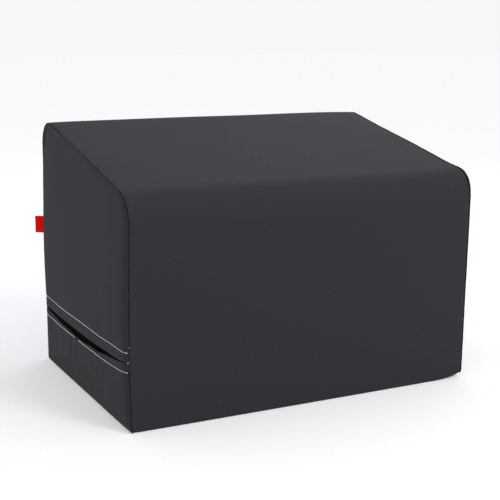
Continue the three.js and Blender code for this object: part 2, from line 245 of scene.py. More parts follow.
CREASES = {
    -1: [(46, 5.0, 1.5, 40), (12, 4.0, 0.8, 34), (-32, 5.0, 1.0, 46), (-60, 6.0, 0.7, 30), (92, 5.0, 0.7, 36)],
    1: [(-70, 5.0, 1.0, 38), (-20, 5.0, 0.8, 44), (38, 6.0, 1.1, 36), (110, 5.0, 0.7, 30)],
}
# Swell of the ends over height, at the front seam and at the back seam.
FRONT_SWELL = {
    -1: [(0, 6.5), (60, 8.0), (120, 9.4), (200, 8.6), (290, 6.6), (330, 5.0), (370, 3.6)],
    1: [(0, 3.4), (80, 3.2), (125, 2.4), (200, 5.4), (290, 6.0), (320, 4.8), (345, 7.0), (370, 11.0), (400, 10.5)],
}
BACK_SWELL = {
    -1: [(0, 2.0), (60, 2.2), (110, 3.4), (185, 5.8), (250, 5.4), (300, 3.6), (350, 0.6), (380, -1.0), (430, -1.4)],
    1: [(0, 3.0), (110, 4.0), (250, 6.0), (330, 6.0), (380, 7.0), (430, 7.5)],
}
LEFT_BOW = [(0, 0.3), (40, 1.4), (100, 3.3), (150, 2.9), (220, 2.0), (290, 1.3), (350, 0.6), (400, 0.0)]


def bow(end, z):
    """How far the filling pushes the front seam of an end outwards."""
    return through(LEFT_BOW, z) if end < 0 else 0 * z


def end_swell(end, y, z):
    """How far an end stands out of the plane of its seam."""
    away = from_seam(y, z, end)
    back = smooth((y + 150) / 330)
    most = (1 - back) * through(FRONT_SWELL[end], z) + back * through(BACK_SWELL[end], z)
    foot = 1 - np.exp(-np.maximum(z - 0.9, 0) / 9)
    run = EDGE_RUN - (2.7 if end > 0 else 2.2) * smooth((z - 290) / 45)
    edge = (1 - np.exp(-away / run)) * foot
    bowed = bow(end, z) * np.exp(-away / run) * smooth((-y - 120) / 60)
    crown = END_CROWN * (1 - np.exp(-away / END_CROWN_RUN)) * smooth(z / 70)
    middle = zip_middle(y)
    pinch = 1.2 * np.exp(-(((z - middle) / 24) ** 2)) * smooth(away / 50)
    rows = np.minimum(np.abs(z - through(UPPER_ROW, y)), np.abs(z - through(LOWER_ROW, y)))
    groove = 0.9 * np.exp(-((rows / 1.8) ** 2)) * smooth(away / 4)
    uneven = 0.6 * ripple(y, z, 170, 11 + end) * smooth(away / 50) * smooth(z / 25)
    folds = 0
    below = through(LOWER_ROW, y) - z
    for place, width, depth, reach in CREASES[end]:
        lean = place + 0.12 * below
        ridge = np.exp(-(((y - lean) / width) ** 2))
        ridge = ridge - 0.45 * np.exp(-(((y - lean - 2.2 * width) / (1.6 * width)) ** 2))
        folds = folds + depth * ridge * np.exp(-np.maximum(below, 0) / reach) * smooth((below + 3) / 5)
    pucker = 0.14 * np.sin(2 * math.pi * (y + z) / 11.0) * np.exp(-away / 6)
    return bowed + most * edge + crown - pinch - groove + uneven - folds * edge + pucker


def wrap_swell(s, x):
    """How far the strip over the block stands out of its flat outline."""
    edge = HALF_X - np.abs(x)
    lying = np.exp(-(((s - (ENDS[2] + ENDS[3]) / 2) / 190) ** 2))
    behind = smooth((s - ENDS[4]) / 60)
    upright = 1 - smooth((s - ENDS[1]) / 60)
    right = smooth((x - 100) / 180)
    crown = (1.2 - 0.1 * upright + 0.7 * lying + 1.0 * behind) * (1 - np.exp(-edge / (70 - (52 + 12 * right) * lying)))
    crown = crown + seam_rise(s, 1) * np.exp(-((HALF_X - x) / 32))
    sloping = smooth((s - ENDS[1]) / 60) * smooth((ENDS[4] - s) / 60)
    tuck = (SEAM_TUCK + 0.4 * sloping) * np.exp(-edge / SEAM_RUN)
    foot = 2.0 * np.exp(-s / 3.0)
    uneven = 0.35 * ripple(s, x, 210, 5) * smooth(edge / 60) * smooth(s / 60)
    pucker = 0.12 * np.sin(2 * math.pi * s / 12.5) * np.exp(-edge / 5)
    return crown - tuck - foot + uneven + pucker


def back_zip_groove(z):
    """How far the back is drawn in along its two rows of stitches and round the zip."""
    row = np.abs(np.abs(z - ZIP_Z) - BACK_STITCH_REACH)
    return 0.7 * np.exp(-((row / 1.9) ** 2)) + 1.0 * np.exp(-(((z - ZIP_Z) / 22) ** 2))


# ---------------------------------------------------------------- making meshes

def placed(name, data):
    made = bpy.data.objects.new(name, data)
    bpy.context.collection.objects.link(made)
    return made


def piece(name, points, faces, slot, material, wall=0.0, pad=None, cad=(), flat=False):
    mesh = bpy.data.meshes.new(name)
    mesh.from_pydata((np.asarray(points, float) * MM).tolist(), [], [tuple(int(i) for i in f) for f in faces])
    mesh.validate()
    if not flat:
        mesh.polygons.foreach_set("use_smooth", [True] * len(mesh.polygons))
    mesh.materials.append(material)
    made = placed(name, mesh)
    if wall:
        thick = made.modifiers.new("wall", "SOLIDIFY")
        thick.thickness = wall * MM
        thick.offset = -1
        thick.use_even_offset = False
    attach(made, BLOCK)
    if cad:
        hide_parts(*cad)
    return made


def grid_faces(rows, cols, flip=False):
    faces = []
    for i in range(rows - 1):
        for j in range(cols - 1):
            a = i * cols + j
            face = (a, a + 1, a + cols + 1, a + cols)
            faces.append(face[::-1] if flip else face)
    return faces


def sheet(name, points, slot, material, flip=False, **more):
    rows, cols = points.shape[:2]
    return piece(name, points.reshape(-1, 3), grid_faces(rows, cols, flip), slot, material, **more)


def roll(surface, down, out, radius, hem):
    """Rows that fold a panel's edge inwards: a half turn, then the hem behind the panel. The first row is the
    one deepest inside. surface is the row where the fold starts, down the way the edge faces, out outwards."""
    rows = []
    radius = np.broadcast_to(radius, surface.shape[:1])[:, None]
    for back in (hem, hem * 0.6, hem * 0.25):
        rows.append(surface - 2 * radius * out - back * down)
    for angle in np.linspace(math.pi, 0, 8)[:-1]:
        rows.append(surface - radius * (1 - math.cos(angle)) * out + radius * math.sin(angle) * down)
    return rows


def clear_of_sliders(rows):
    """Keeps the hem of a back lip outside the way of the sliders."""
    return [np.stack([row[:, 0], np.maximum(row[:, 1], HALF_Y - BACK_HEM_DEPTH), row[:, 2]], 1) for row in rows]


def short_hem(rows):
    """Keeps the hem of an end panel clear of the seams at its two sides."""
    for row in rows[:4]:
        row[:, 1] = np.clip(row[:, 1], END_HEM_GAP - HALF_Y, HALF_Y - END_HEM_GAP)
    return rows


def blurred(field, cells):
    """field, averaged over about the given number of cells each way."""
    reach = int(cells * 2.5)
    bell = np.exp(-0.5 * (np.arange(-reach, reach + 1) / cells) ** 2)
    bell /= bell.sum()
    for axis in (0, 1):
        wide = np.pad(field, [(reach, reach) if k == axis else (0, 0) for k in (0, 1)], mode="edge")
        field = np.apply_along_axis(lambda row: np.convolve(row, bell, mode="valid"), axis, wide)
    return field


def spread(field, v, u):
    """field, known at even steps over a panel, at the rows v and the columns u of another grid of it."""
    even_v, even_u = (np.linspace(0, 1, n) for n in field.shape)
    wide = np.array([np.interp(u, even_u, row) for row in field])
    return np.array([np.interp(v, even_v, column) for column in wide.T]).T


CLOTH_STEPS = 20
CLOTH_SETTINGS = {
    "quality": 7,
    "mass": 0.35,
    "tension_stiffness": 20,
    "compression_stiffness": 20,
    "shear_stiffness": 10,
    "bending_stiffness": 0.4,
    "air_damping": 2,
    "vertex_group_mass": "sewn",
    "shrink_min": -0.004,
    "shrink_max": -0.004,
    "use_pressure": True,
    "uniform_pressure_force": 4.0,
}


def soft_creases(points, outwards, held, flip=False):
    """The creases that a loose panel of leatherette takes between its seams, as heights of about -1 to 1: a
    cloth simulation on a grid of even steps, inflated from inside and held where it is sewn. The broad rise is
    taken off again, since the panel is cut to its own swell."""
    rows, cols = points.shape[:2]
    mesh = bpy.data.meshes.new("loose_cover")
    mesh.from_pydata((points.reshape(-1, 3) * MM).tolist(), [], grid_faces(rows, cols, flip))
    cover = placed("loose_cover", mesh)
    sewn = cover.vertex_groups.new(name="sewn")
    sewn.add(np.flatnonzero(held.ravel()).tolist(), 1.0, "REPLACE")
    cloth = cover.modifiers.new("loose_cover", "CLOTH")
    cloth.point_cache.frame_start, cloth.point_cache.frame_end = 1, CLOTH_STEPS
    for key, value in CLOTH_SETTINGS.items():
        setattr(cloth.settings, key, value)
    cloth.settings.effector_weights.gravity = 0
    cloth.collision_settings.use_collision = False
    for step in range(1, CLOTH_STEPS + 1):
        bpy.context.scene.frame_set(step)
    shaped = cover.evaluated_get(bpy.context.evaluated_depsgraph_get())
    after = np.array([vertex.co for vertex in shaped.data.vertices]).reshape(rows, cols, 3) / MM
    bpy.context.scene.frame_set(1)
    bpy.data.objects.remove(cover)
    bpy.data.meshes.remove(mesh)
    risen = np.sum((after - points) * outwards, 2)
    creased = blurred(risen - blurred(risen, 4.5), 0.5)
    inner = creased[4:-4, 4:-4]
    return np.tanh((creased - inner.mean()) / (2.2 * inner.std() + 1e-6))


# ---------------------------------------------------------------- materials

def node(tree, kind, **given):
    """Adds a node. What is given by name is a setting of it, or goes to an input: a value, or another's output."""
    made = tree.nodes.new(kind)
    for key, value in given.items():
        if hasattr(made, key):
            setattr(made, key, value)
        elif isinstance(value, bpy.types.NodeSocket):
            tree.links.new(value, made.inputs[key.replace("_", " ")])
        else:
            made.inputs[key.replace("_", " ")].default_value = value
    return made


def maths(tree, operation, *terms):
    """One operation on terms that are numbers or outputs."""
    made = node(tree, "ShaderNodeMath", operation=operation)
    for socket, term in zip(made.inputs, terms):
        if isinstance(term, bpy.types.NodeSocket):
            tree.links.new(term, socket)
        else:
            socket.default_value = term
    return made.outputs[0]


def shader_group(name, inputs, outputs):
    """A node group of plain numbers, with what it is given, the place in object space and where its results go."""
    group = bpy.data.node_groups.new(name, "ShaderNodeTree")
    for label, value in inputs.items():
        socket = group.interface.new_socket(label, in_out="INPUT", socket_type="NodeSocketFloat")
        socket.default_value = value
    for label in outputs:
        group.interface.new_socket(label, in_out="OUTPUT", socket_type="NodeSocketFloat")
    given, where = group.nodes.new("NodeGroupInput").outputs, node(group, "ShaderNodeTexCoord").outputs["Object"]
    return group, given, where, group.nodes.new("NodeGroupOutput").inputs


def hide_grain():
    """Pressed grain of leatherette: small rounded cells, fine creases and a slow unevenness."""
    group, given, where, put = shader_group(
        "hide_grain", {"Cell Size": 0.001, "Mottle Size": 0.08}, ["Height", "Mottle"]
    )
    scale = maths(group, "DIVIDE", 1, given["Cell Size"])
    cells = node(group, "ShaderNodeTexVoronoi", feature="SMOOTH_F1", Smoothness=0.6, Vector=where, Scale=scale)
    fine = node(group, "ShaderNodeTexNoise", Detail=3.0, Roughness=0.6, Vector=where, Scale=scale)
    group.links.new(maths(group, "ADD", cells.outputs["Distance"], fine.outputs["Fac"]), put["Height"])
    stretch = node(group, "ShaderNodeMapping", Scale=(1.0, 1.0, 0.35), Vector=where)
    slow = node(group, "ShaderNodeTexNoise", Detail=4.0, Roughness=0.55, Vector=stretch.outputs["Vector"],
                Scale=maths(group, "DIVIDE", 1, given["Mottle Size"]))
    group.links.new(slow.outputs["Fac"], put["Mottle"])
    return group


def weave():
    """A plain weave: two crossing sets of yarns."""
    group, given, where, put = shader_group("plain_weave", {"Yarn": 0.0006}, ["Height", "Over"])
    scale = maths(group, "DIVIDE", 0.5, given["Yarn"])
    over, under = (
        node(group, "ShaderNodeTexWave", bands_direction=way, Distortion=0.4, Vector=where, Scale=scale).outputs["Fac"]
        for way in ("X", "Z")
    )
    group.links.new(maths(group, "MAXIMUM", over, under), put["Height"])
    group.links.new(over, put["Over"])
    return group


def dust():
    """Sparse pale specks and faint bloom that lie on every surface."""
    group, given, where, put = shader_group("dust", {"Speck Size": 0.002, "Amount": 0.5}, ["Mask"])
    scale = maths(group, "DIVIDE", 1, given["Speck Size"])
    specks = node(group, "ShaderNodeTexNoise", Detail=2.0, Vector=where, Scale=scale)
    pick = node(group, "ShaderNodeMapRange", From_Min=0.72, From_Max=0.86, Value=specks.outputs["Fac"])
    group.links.new(maths(group, "MULTIPLY", pick.outputs["Result"], given["Amount"]), put["Mask"])
    return group


GROUPS = {"grain": hide_grain(), "weave": weave(), "dust": dust()}


def finish_of(name, color, roughness, metallic=0.0, sheen=0.0, specular=0.5):
    material = bpy.data.materials.new(name)
    material.use_nodes = True
    tree = material.node_tree
    shader = tree.nodes["Principled BSDF"]
    shader.inputs["Base Color"].default_value = (*color, 1)
    shader.inputs["Roughness"].default_value = roughness
    shader.inputs["Metallic"].default_value = metallic
    shader.inputs["Sheen Weight"].default_value = sheen
    shader.inputs["Specular IOR Level"].default_value = specular
    return material, tree, shader


def use(tree, key, **values):
    """Places one of the groups; what comes back are its outputs."""
    return node(tree, "ShaderNodeGroup", node_tree=GROUPS[key], **values).outputs


def between(tree, mask, low, high):
    """A colour that runs from low to high with the mask. low may be an output."""
    low = (*low, 1) if isinstance(low, tuple) else low
    return node(tree, "ShaderNodeMix", data_type="RGBA", A=low, B=(*high, 1), Factor=mask).outputs["Result"]


def ranged(tree, value, low, high):
    return node(tree, "ShaderNodeMapRange", To_Min=low, To_Max=high, Value=value).outputs["Result"]


def bumped(tree, shader, height, distance, strength=1.0):
    bump = node(tree, "ShaderNodeBump", Strength=strength, Distance=distance, Height=height)
    tree.links.new(bump.outputs["Normal"], shader.inputs["Normal"])


def leatherette():
    material, tree, shader = finish_of("leatherette", (0.03, 0.03, 0.033), 0.65, specular=0.26)
    grain = use(tree, "grain", Cell_Size=0.0009, Mottle_Size=0.09)
    specks = use(tree, "dust", Speck_Size=0.004, Amount=0.25)
    base = between(tree, grain["Mottle"], (0.0202, 0.0192, 0.0222), (0.0248, 0.0237, 0.0272))
    tree.links.new(between(tree, specks["Mask"], base, (0.06, 0.06, 0.062)), shader.inputs["Base Color"])
    tree.links.new(ranged(tree, grain["Mottle"], 0.77, 0.87), shader.inputs["Roughness"])
    shader.inputs["Specular Tint"].default_value = (0.84, 0.96, 1.0, 1)
    bumped(tree, shader, grain["Height"], 0.00008, 0.8)
    return material


def woven(name, low, high, yarn, roughness, sheen=0.2, depth=0.0001, specular=0.5):
    material, tree, shader = finish_of(name, high, roughness, sheen=sheen, specular=specular)
    cloth = use(tree, "weave", Yarn=yarn)
    tree.links.new(between(tree, cloth["Over"], low, high), shader.inputs["Base Color"])
    tree.links.new(ranged(tree, cloth["Height"], roughness + 0.08, roughness), shader.inputs["Roughness"])
    bumped(tree, shader, cloth["Height"], depth)
    return material


def grained(name, low, high, cell, rough, metallic=0.0, depth=0.00002, specular=0.5):
    material, tree, shader = finish_of(name, high, rough[0], metallic=metallic, specular=specular)
    grain = use(tree, "grain", Cell_Size=cell, Mottle_Size=cell * 12)
    tree.links.new(between(tree, grain["Mottle"], low, high), shader.inputs["Base Color"])
    tree.links.new(ranged(tree, grain["Mottle"], *rough), shader.inputs["Roughness"])
    bumped(tree, shader, grain["Height"], depth)
    return material


LEATHERETTE = leatherette()
BASE_CLOTH = woven("base_cloth", (0.012, 0.012, 0.013), (0.024, 0.024, 0.026), 0.0016, 0.8, depth=0.0003)
# Black zip tape. Its colour is set near zero, darker than the cloth itself, so that it also paints the shade inside
# the zip slit; the seam tubes use it as painted shadow.
TAPE_AND_PAINTED_SHADE = woven("zip_tape", (0.0015, 0.0015, 0.0018), (0.003, 0.003, 0.0033), 0.0005, 0.9, sheen=0.0,
                 specular=0.08)
LABEL_CLOTH = woven("label_cloth", (0.78, 0.0015, 0.004), (0.94, 0.003, 0.006), 0.0004, 0.9, sheen=0.0, specular=0.1)
THREAD = woven("thread", (0.74, 0.75, 0.74), (0.9, 0.91, 0.9), 0.0003, 0.7, sheen=0.0)
COIL = grained("zip_coil", (0.0025, 0.0025, 0.003), (0.005, 0.005, 0.0055), 0.0008, (0.4, 0.55), specular=0.2)
ZIP_METAL = grained("zip_metal", (0.03, 0.03, 0.033), (0.07, 0.07, 0.074), 0.0012, (0.3, 0.45), metallic=1.0)
PLANK_FOAM = grained("plank_foam", (0.68, 0.66, 0.6), (0.82, 0.8, 0.74), 0.0014, (0.85, 0.98), depth=0.0006)
PAD_FOAM = grained("pad_foam", (0.6, 0.54, 0.38), (0.72, 0.66, 0.48), 0.0011, (0.85, 0.98), depth=0.0006)


# ---------------------------------------------------------------- cover panels

def on_floor(points):
    """Lifts the soft bottom corners of a panel and keeps its lower edge off the floor."""
    points[..., 2] = np.maximum(lifted(points[..., 0], points[..., 1], points[..., 2]), FLOOR_GAP)
    return points


def strip_columns():
    """Places across the strip of the cover, close together at its seams."""
    return np.clip(HALF_X * (2 * graded(84, 0.93) - 1), -STRIP_REACH, STRIP_REACH)


def strip_sheet(name, points, down, node_name, pad, flip=False):
    """A length of the strip, with its hem folded in at the zip and its edges tucked into the seams."""
    fold = clear_of_sliders(roll(points[-1], np.array(down), BACKWARDS, HEM_RADIUS, HEM_DEPTH))
    points = np.concatenate([points, np.array(fold)[::-1]])
    points = on_floor(np.concatenate([tucked(points, -1), points, tucked(points, 1)], 1))
    return sheet(name, points, "leatherette", LEATHERETTE, flip=flip, wall=LEATHERETTE_WALL, pad=pad, cad=[node_name])


def wrap_panel():
    """The strip up the front, over the top and down the back, folded in at the zip."""
    last = AROUND - (back_lip(0.0, True) + HEM_RADIUS)
    s = np.concatenate([
        ENDS[1] * graded(26),
        *(ENDS[k] + LENGTHS[k] * np.linspace(0, 1, count) for k, count in ((1, 13), (2, 27), (3, 15))),
        ENDS[4] + (last - ENDS[4]) * np.linspace(0, 1, 16),
        last - np.array([34, 28, 23, 19, 16, 14.2, 12.8, 11.4, 9, 6, 3]),
    ])
    s = np.unique(np.round(s, 4))
    s = s[s <= last + 1e-6]
    x = strip_columns()
    S, X = np.meshgrid(s, x, indexing="ij")
    flat, out = outline(S)
    # the rows behind bend down to meet the lips of the ends
    drop = (back_lip(X, True) - back_lip(0.0, True)) * smooth((S - ENDS[4] - 150) / (last - ENDS[4] - 150)) ** 3
    z = flat[..., 1] + drop * (S > ENDS[4])
    swell = wrap_swell(S, X)
    X = X - bow(-1, z) * smooth((-X - HALF_X + 80) / 78) * (1 - smooth((S - ENDS[1]) / 90))
    swell = swell - back_zip_groove(z) * (S > ENDS[4])
    loose_s, loose_x = np.meshgrid(np.linspace(0, last, 118), STRIP_REACH * np.linspace(-1, 1, 52), indexing="ij")
    loose, loose_out = outline(loose_s)
    outwards = np.concatenate([np.zeros_like(loose_s)[..., None], loose_out], 2)
    loose = np.concatenate([loose_x[..., None], loose], 2)
    held = (loose_s < 3) | (loose_s > last - 17) | (np.abs(loose_x) > HALF_X - 3)
    creases = spread(soft_creases(loose, outwards, held), s / last, 0.5 + 0.5 * x / STRIP_REACH)
    free = smooth((HALF_X - np.abs(X)) / 26) * smooth(S / 16) * smooth((last - 16 - S) / 10)
    swell = swell + 0.3 * creases * free
    points = np.stack([X, flat[..., 0] + swell * out[..., 0], z + swell * out[..., 1]], -1)
    return strip_sheet("cover_strip", points, (0, 0, -1.0), "cover_wrap", 0.95)


def tucked(points, side):
    """The seam allowance: the edge column of a panel, carried into the block behind the end panel."""
    edge = points[:, -1] if side > 0 else points[:, 0]
    across = np.array([float(side), 0, 0])
    into = np.cross(np.gradient(edge, axis=0), across) * side
    into /= np.maximum(np.linalg.norm(into, axis=1)[:, None], 1e-9)
    facing = np.sign(np.sum(into * (BLOCK_MIDDLE - edge), 1))[:, None]
    into = into * np.where(facing == 0, 1, facing)
    columns = [edge + depth * into + along_x * across for depth, along_x in ((1.4, 0.15), (4, 0.1), (9, 0.2))]
    return np.stack(columns[::side], 1)


def back_lower_panel():
    """The skirt of the back, below the zip."""
    x, v = strip_columns(), graded(18, 0.8)
    z = 1.0 + (back_lip(x, False) - HEM_RADIUS - 1.0)[None] * v[:, None]
    X = np.broadcast_to(x, z.shape)
    edge = HALF_X - np.abs(X)
    swell = 2.6 * (1 - np.exp(-edge / 70)) * smooth(z / 50) - SEAM_TUCK * np.exp(-edge / SEAM_RUN)
    swell = swell - 2.2 * np.exp(-z / 3.0) - back_zip_groove(z) + 0.4 * ripple(X, z, 130, 8) * smooth(edge / 40)
    even_z = 1 + (ZIP_Z - BACK_LIP - 1) * np.linspace(0, 1, 13)
    loose_x, loose_z = np.meshgrid(STRIP_REACH * np.linspace(-1, 1, 76), even_z)
    loose = np.stack([loose_x, np.full(loose_x.shape, HALF_Y), loose_z], -1)
    held = (loose_z < 3) | (loose_z > ZIP_Z - 17) | (np.abs(loose_x) > HALF_X - 3)
    creases = spread(soft_creases(loose, BACKWARDS, held, True), v, 0.5 + 0.5 * x / STRIP_REACH)
    swell = swell + 0.6 * creases * smooth(edge / 20) * smooth(z / 14) * smooth((ZIP_Z - 15 - z) / 8)
    points = np.stack([X, HALF_Y + swell, z], -1)
    return strip_sheet("cover_back_skirt", points, (0, 0, 1.0), "cover_back_lower", 0.9, flip=True)


def coons(left, right, bottom, top):
    """Fills four boundary rows with a smooth grid. left and right run up, bottom and top run front to back."""
    v, u = (np.r_[0, np.cumsum(np.linalg.norm(np.diff(row, axis=0), axis=1))] for row in (left, bottom))
    v, u = (v / v[-1])[:, None, None], (u / u[-1])[None, :, None]
    ruled_v = (1 - v) * bottom[None] + v * top[None]
    ruled_u = (1 - u) * left[:, None] + u * right[:, None]
    corners = (1 - u) * (1 - v) * bottom[0] + u * (1 - v) * bottom[-1] + (1 - u) * v * top[0] + u * v * top[-1]
    return ruled_v + ruled_u - corners


TURNED = [(0.15, -0.55), (0.6, -1.05), (1.6, -1.35), (3.4, -1.5), (7.0, -1.6)]


def turned_under(points, outwards, left, right, top=None):
    """Adds the seam edge of an end panel, turned into the block. left, right and top face out of the panel."""
    before, after = (
        [edge - inset * facing + rise * outwards for inset, rise in TURNED]
        for edge, facing in ((points[:, 0], left), (points[:, -1], right))
    )
    wide = np.concatenate([np.stack(before[::-1], 1), points, np.stack(after, 1)], 1)
    if top is None:
        return wide
    for k, (inset, rise) in enumerate(TURNED):
        row = points[-1] - inset * top + rise * outwards
        first, second = (np.stack([side[max(k, j)][-1] for j in range(len(TURNED))]) for side in (before, after))
        wide = np.concatenate([wide, np.concatenate([first[::-1], row, second])[None]])
    return wide


def side_vectors(ways, before=0):
    """Ways in the side plane as ways in space, the first one repeated for the rows that come before."""
    ways = np.concatenate([np.repeat(ways[:1], before, 0), ways])
    return np.concatenate([np.zeros((len(ways), 1)), ways], 1)


def head_plane(end, u, v):
    """Places of the upper end panel in the side plane, and the ways that its front, back and top edges face."""
    corner_a = ENDS[1] + LENGTHS[1] * 0.5
    corner_b = ENDS[3] + LENGTHS[3] * 0.5
    y = (HALF_Y - SEAM_INSET) * (2 * u - 1)
    low = end_lip(y, True) + lip_radius(y, True)
    left, left_out = seam_line(low[0] + (corner_a - low[0]) * v, end)
    right, right_out = seam_line(AROUND - low[-1] - (AROUND - low[-1] - corner_b) * v, end)
    top, top_out = seam_line(corner_a + (corner_b - corner_a) * u, end)
    return coons(left, right, np.stack([y, low], -1), top), left_out, right_out, top_out


def skirt_plane(u, v):
    y = (HALF_Y - SEAM_INSET) * (2 * u - 1)
    z = 0.9 + (end_lip(y, False) - lip_radius(y, False) - 0.9)[None] * v[:, None]
    return np.stack([np.broadcast_to(y, z.shape), z], -1)


def end_creases(end, plane, loose, u, v, most):
    """Creases of an end panel, between its seams and its topstitching."""
    y, z = loose[..., 0], loose[..., 1]
    held = (z > through(LOWER_ROW, y) - 2) & (z < through(UPPER_ROW, y) + 3) | (z < 2)
    held[:, 0] = held[:, -1] = True
    if z.max() > 200:
        held[-1] = True
    points, outwards = end_surface(end, loose)
    creases = spread(soft_creases(points, outwards, held, end < 0), v, u)
    y, z = plane[..., 0], plane[..., 1]
    beyond = np.maximum(z - through(UPPER_ROW, y), through(LOWER_ROW, y) - z)
    free = smooth(from_seam(y, z, end) / 26) * smooth(beyond / 7) * smooth(z / 14)
    return (most * creases * free)[..., None] * outwards


def end_upper_panel(end, name):
    u, v = graded(72, 0.93), graded(64, 0.93)
    plane, left_out, right_out, top_out = head_plane(end, u, v)
    points, outwards = end_surface(end, plane)
    loose = head_plane(end, np.linspace(0, 1, 58), np.linspace(0, 1, 54))[0]
    points = points + end_creases(end, plane, loose, u, v, 0.4)
    fold = lip_radius(plane[0, :, 0], True)
    rows = short_hem(roll(points[0], np.array([0, 0, -1.0]), outwards, fold, HEM_DEPTH))
    points = np.concatenate([np.array(rows), points])
    left, right = side_vectors(left_out, len(rows)), side_vectors(right_out, len(rows))
    return end_sheet(end, name, turned_under(points, outwards, left, right, side_vectors(top_out)))


def end_lower_panel(end, name):
    u, v = graded(84, 0.93), graded(32, 0.88)
    plane = skirt_plane(u, v)
    points, outwards = end_surface(end, plane)
    loose = skirt_plane(np.linspace(0, 1, 66), np.linspace(0, 1, 15))
    points = points + end_creases(end, plane, loose, u, v, 0.7)
    fold = lip_radius(plane[0, :, 0], False)
    rows = short_hem(roll(points[-1], np.array([0, 0, 1.0]), outwards, fold, HEM_DEPTH * 0.7))
    points = turned_under(np.concatenate([points, np.array(rows)[::-1]]), outwards, -BACKWARDS, BACKWARDS)
    return end_sheet(end, name, np.concatenate([points[:1] - 2.4 * outwards, points]))


def lip_radius(y, upper):
    """The lower lip is slack in the middle of the end and rolls inwards in a wide curl."""
    near = 1 - np.exp(-(HALF_Y - np.abs(y)) / 12)
    slack = np.clip((through(UPPER_LIP, y) - through(LOWER_LIP, y)) / 9, 0, 1)
    wide = 1.5 if upper else 1.5 + 0.8 * slack
    return 0.5 + (wide - 0.5) * near


def end_surface(end, plane):
    y, z = plane[..., 0], plane[..., 1]
    x = end * np.maximum(HALF_X - 0.3 + end_swell(end, y, z), HALF_X - SHELL + 0.35)
    return np.stack([x, y, z], -1), np.array([float(end), 0, 0])


def end_sheet(end, name, points):
    stands_for = name.replace("head", "upper").replace("skirt", "lower")
    return sheet(name, on_floor(points), "leatherette", LEATHERETTE, flip=end < 0, wall=LEATHERETTE_WALL, pad=0.9,
                 cad=[stands_for])


def base_panel():
    """The base: a flat cloth with its edge turned up to the cover."""
    reach_x, reach_y = HALF_X - 1.2, HALF_Y - 1.2
    X, Y = np.meshgrid(reach_x * (2 * graded(60, 0.9) - 1), reach_y * (2 * graded(44, 0.9) - 1))
    Z = 0.9 * np.exp(-np.minimum(reach_x - np.abs(X), reach_y - np.abs(Y)) / 2.0)
    Z = np.where(Z < 0.02, 0, Z) + lifted(X, Y, np.zeros_like(X))
    points = np.stack([X, Y, Z], -1)
    return sheet("base_sheet", points, "base_cloth", BASE_CLOTH, flip=True, wall=1.1, cad=["cover_base"])


def base_plank():
    """The lowest plank of foam, which gives way with the cover at the bottom corners."""
    low, high = cad_span("core_plank_01")
    x, y, z = (low[k] + (high[k] - low[k]) * (0.5 - 0.5 * np.cos(math.pi * np.linspace(0, 1, count)))
               for k, count in enumerate((50, 40, 9)))
    points, faces = [], []

    def face(a, b, at, flip):
        first, rows, cols = len(points), *a.shape
        points.extend(np.stack(at(a, b), -1).reshape(-1, 3).tolist())
        faces.extend([tuple(first + i for i in corners) for corners in grid_faces(rows, cols, flip)])

    for level, flip in ((low, True), (high, False)):
        face(*np.meshgrid(x, y), lambda a, b: (a, b, np.full(a.shape, level[2])), flip)
        face(*np.meshgrid(x, z), lambda a, b: (a, np.full(a.shape, level[1]), b), not flip)
        face(*np.meshgrid(y, z), lambda a, b: (np.full(a.shape, level[0]), a, b), flip)
    points = np.array(points)
    give = lifted(points[:, 0], points[:, 1], points[:, 2]) - points[:, 2]
    points[:, 2] += 1.1 * give * (high[2] - points[:, 2]) / (high[2] - low[2])
    made = piece("base_plank", points, faces, "plank_foam", PLANK_FOAM, cad=["core_plank_01"], pad=1.0, flat=True)
    made.modifiers.new("edges", "WELD").merge_threshold = 0.02 * MM


base_plank()
strip = wrap_panel()
back_skirt = back_lower_panel()
heads = {end: end_upper_panel(end, f"cover_{word}_head") for end, word in SIDES}
skirts = {end: end_lower_panel(end, f"cover_{word}_skirt") for end, word in SIDES}
base_panel()


# ---------------------------------------------------------------- sewing, zip and label

class Threads:
    """Tubes gathered into one mesh."""

    def __init__(self, sides=6):
        self.points, self.faces, self.sides = [], [], sides

    def tube(self, path, radii):
        path = np.asarray(path, float)
        radii = np.broadcast_to(radii, (len(path),))
        ahead = np.gradient(path, axis=0)
        ahead /= np.maximum(np.linalg.norm(ahead, axis=1)[:, None], 1e-9)
        side = np.cross(ahead, [0.31, 0.27, 0.91])
        side /= np.linalg.norm(side, axis=1)[:, None]
        above = np.cross(ahead, side)
        angle = np.arange(self.sides) * 2 * math.pi / self.sides
        ring = np.cos(angle)[None, :, None] * side[:, None] + np.sin(angle)[None, :, None] * above[:, None]
        first = len(self.points)
        self.points.extend((path[:, None] + radii[:, None, None] * ring).reshape(-1, 3).tolist())
        n = self.sides
        for i in range(len(path) - 1):
            for j in range(n):
                k = (j + 1) % n
                a, b = first + i * n, first + (i + 1) * n
                self.faces.append((a + j, b + j, b + k, a + k))
        last = first + (len(path) - 1) * n
        self.faces.append(tuple(first + j for j in range(n)))
        self.faces.append(tuple(last + j for j in reversed(range(n))))

    def made(self, name, slot, material, cad):
        return piece(name, self.points, self.faces, slot, material, cad=cad)


def surface_of(*panels):
    """Finds a point of the outer skin, and the way it faces, looking in from outside."""
    points, faces = [], []
    for panel in panels:
        first = len(points)
        points.extend([vertex.co / MM for vertex in panel.data.vertices])
        faces.extend([[first + i for i in face.vertices] for face in panel.data.polygons])
    tree = BVHTree.FromPolygons(points, faces)

    def find(at, outwards):
        outwards = Vector(outwards)
        hit, normal, _, _ = tree.ray_cast(Vector(at) + outwards * 60, -outwards)
        if hit is None:
            return None, None
        return np.array(hit), np.array(-normal if normal.dot(outwards) < 0 else normal)

    return find


# The near-black tube in each end seam is painted shade, drawn where the groove's shadow falls.
SHADE_TUBE_RADIUS = 0.7
STITCH, STITCH_GAP, THREAD_RADIUS = 4.2, 1.8, 0.48
